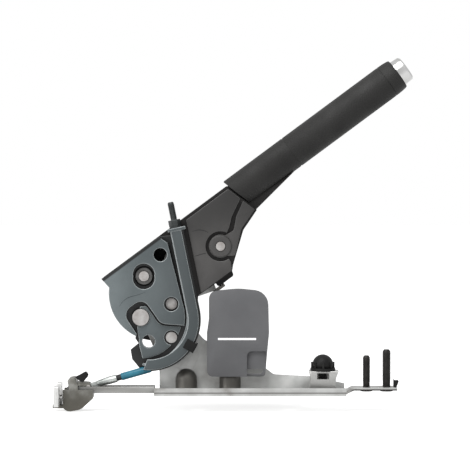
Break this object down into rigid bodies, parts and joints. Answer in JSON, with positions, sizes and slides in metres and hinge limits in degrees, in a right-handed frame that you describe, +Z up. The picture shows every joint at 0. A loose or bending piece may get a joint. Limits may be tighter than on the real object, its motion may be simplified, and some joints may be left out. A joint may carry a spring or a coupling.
{
  "type": "parking brake lever",
  "caption": "Floor-mounted parking brake lever with push-button grip, ratchet and pawl, a cable sector and a sliding equaliser on the bracket's tail rail.",
  "frame": {"origin": "centre of the floor bolt pattern, on the bracket's underside", "axes": "+Z up off the floor, +X towards the grip end along the lever, -Y on the side of the cable sector"},
  "size_m": [0.3599, 0.0865, 0.3516],
  "materials": {
    "floor_bracket": "plated, satin",
    "rear_foot": "plated, satin",
    "console_bridge": "plated, satin",
    "push_clip": "moulded, matte",
    "rear_console_stud": "black coat, satin",
    "front_console_stud": "plated, satin",
    "side_cover": "moulded, matte",
    "pivot_pin": "plated, satin",
    "pivot_spacers": "plated, satin",
    "ratchet_plate": "plated, satin",
    "ratchet_rivets": "plated, satin",
    "stud_lug": "moulded, matte",
    "tail_rail": "plated, satin",
    "lever_arm": "black coat, satin",
    "arm_doubler": "black coat, satin",
    "cable_sector": "black coat, satin",
    "sector_rivets": "plated, satin",
    "cross_rivet_pin": "plated, satin",
    "pivot_bushes": "moulded, matte",
    "pawl_pin_rivet": "plated, satin",
    "stop_bumper": "matte",
    "handle_tube": "black coat, satin",
    "rod_guide": "moulded, matte",
    "grip": "moulded, matte",
    "release_spring": "plated, satin",
    "adjuster_stud": "plated, satin",
    "adjuster_nut": "plated, satin",
    "adjuster_washer": "plated, satin",
    "cable_wrap": "moulded, matte",
    "cable_clip": "moulded, matte",
    "pawl_spring": "plated, satin",
    "cable_crimp": "plated, satin",
    "sector_panel": "black coat, satin",
    "lower_panel": "black coat, satin",
    "pawl_pad": "black coat, satin",
    "cross_washer": "plated, satin",
    "pawl_washer": "black coat, satin",
    "pawl": "plated, satin",
    "release_button": "polished",
    "release_rod": "plated, satin",
    "slider": "plated, satin",
    "slider_clip": "moulded, matte",
    "slider_pin": "plated, satin",
    "yoke_pin": "plated, satin",
    "equaliser_yoke": "plated, satin",
    "cable_run": "moulded, matte",
    "cable_sleeve": "smooth",
    "cable_ferrule": "plain"
  },
  "bodies": {
    "base": {"floor_bracket": "floor_bracket", "rear_foot": "rear_foot", "console_bridge": "console_bridge", "push_clip": "push_clip", "rear_console_stud": "rear_console_stud", "front_console_stud": "front_console_stud", "side_cover": "side_cover", "pivot_pin": "pivot_pin", "pivot_spacers": "pivot_spacers", "ratchet_plate": "ratchet_plate", "ratchet_rivets": "ratchet_rivets", "stud_lug": "stud_lug", "tail_rail": "tail_rail"},
    "lever": {"lever_arm": "lever_arm", "arm_doubler": "arm_doubler", "cable_sector": "cable_sector", "sector_rivets": "sector_rivets", "cross_rivet_pin": "cross_rivet_pin", "pivot_bushes": "pivot_bushes", "pawl_pin_rivet": "pawl_pin_rivet", "stop_bumper": "stop_bumper", "handle_tube": "handle_tube", "rod_guide": "rod_guide", "grip": "grip", "release_spring": "release_spring", "adjuster_stud": "adjuster_stud", "adjuster_nut": "adjuster_nut", "adjuster_washer": "adjuster_washer", "cable_wrap": "cable_wrap", "cable_clip": "cable_clip", "pawl_spring": "pawl_spring", "cable_crimp": "cable_crimp", "sector_panel": "sector_panel", "lower_panel": "lower_panel", "pawl_pad": "pawl_pad", "cross_washer": "cross_washer", "pawl_washer": "pawl_washer"},
    "pawl": {"pawl": "pawl"},
    "release": {"release_button": "release_button", "release_rod": "release_rod"},
    "slider": {"slider": "slider", "slider_clip": "slider_clip", "slider_pin": "slider_pin", "yoke_pin": "yoke_pin"},
    "equaliser": {"equaliser_yoke": "equaliser_yoke"},
    "cable": {"cable_run": "cable_run", "cable_sleeve": "cable_sleeve", "cable_ferrule": "cable_ferrule"}
  },
  "joints": [
    {"name": "lever_pivot", "type": "hinge", "parent": "base", "child": "lever", "pos_m": [-0.099, 0, 0.076], "axis": [0, -1, 0], "range_deg": [0, 32]},
    {"name": "release_press", "type": "slide", "parent": "lever", "child": "release", "axis": [-0.8039, 0, -0.5948], "range_m": [0, 0.007], "stiffness_N_per_m": 300, "springref_m": -0.01, "deforming": ["release_spring"]},
    {"name": "pawl_lift", "type": "hinge", "parent": "lever", "child": "pawl", "pos_m": [-0.01944, 0, 0.14669], "axis": [0, -1, 0], "range_deg": [0, 13]},
    {"name": "slider_travel", "type": "slide", "parent": "base", "child": "slider", "axis": [1, 0, 0], "range_m": [0, 0.0311]},
    {"name": "cable_swing", "type": "hinge", "parent": "slider", "child": "cable", "pos_m": [-0.151, -0.021, 0.0072], "axis": [0, -1, 0], "range_deg": [0, 8.5]},
    {"name": "equaliser_rock", "type": "hinge", "parent": "slider", "child": "equaliser", "pos_m": [-0.1815, -0.021, 0], "axis": [0, 0, 1], "range_deg": [-5, 5]}
  ],
  "couplings": [
    {"joint": "pawl_lift", "follows": "release_press", "rad_per_m": 30.3},
    {"joint": "slider_travel", "follows": "lever_pivot", "m_per_rad": 0.0555},
    {"joint": "cable_swing", "follows": "lever_pivot", "ratio": 0.26}
  ]
}
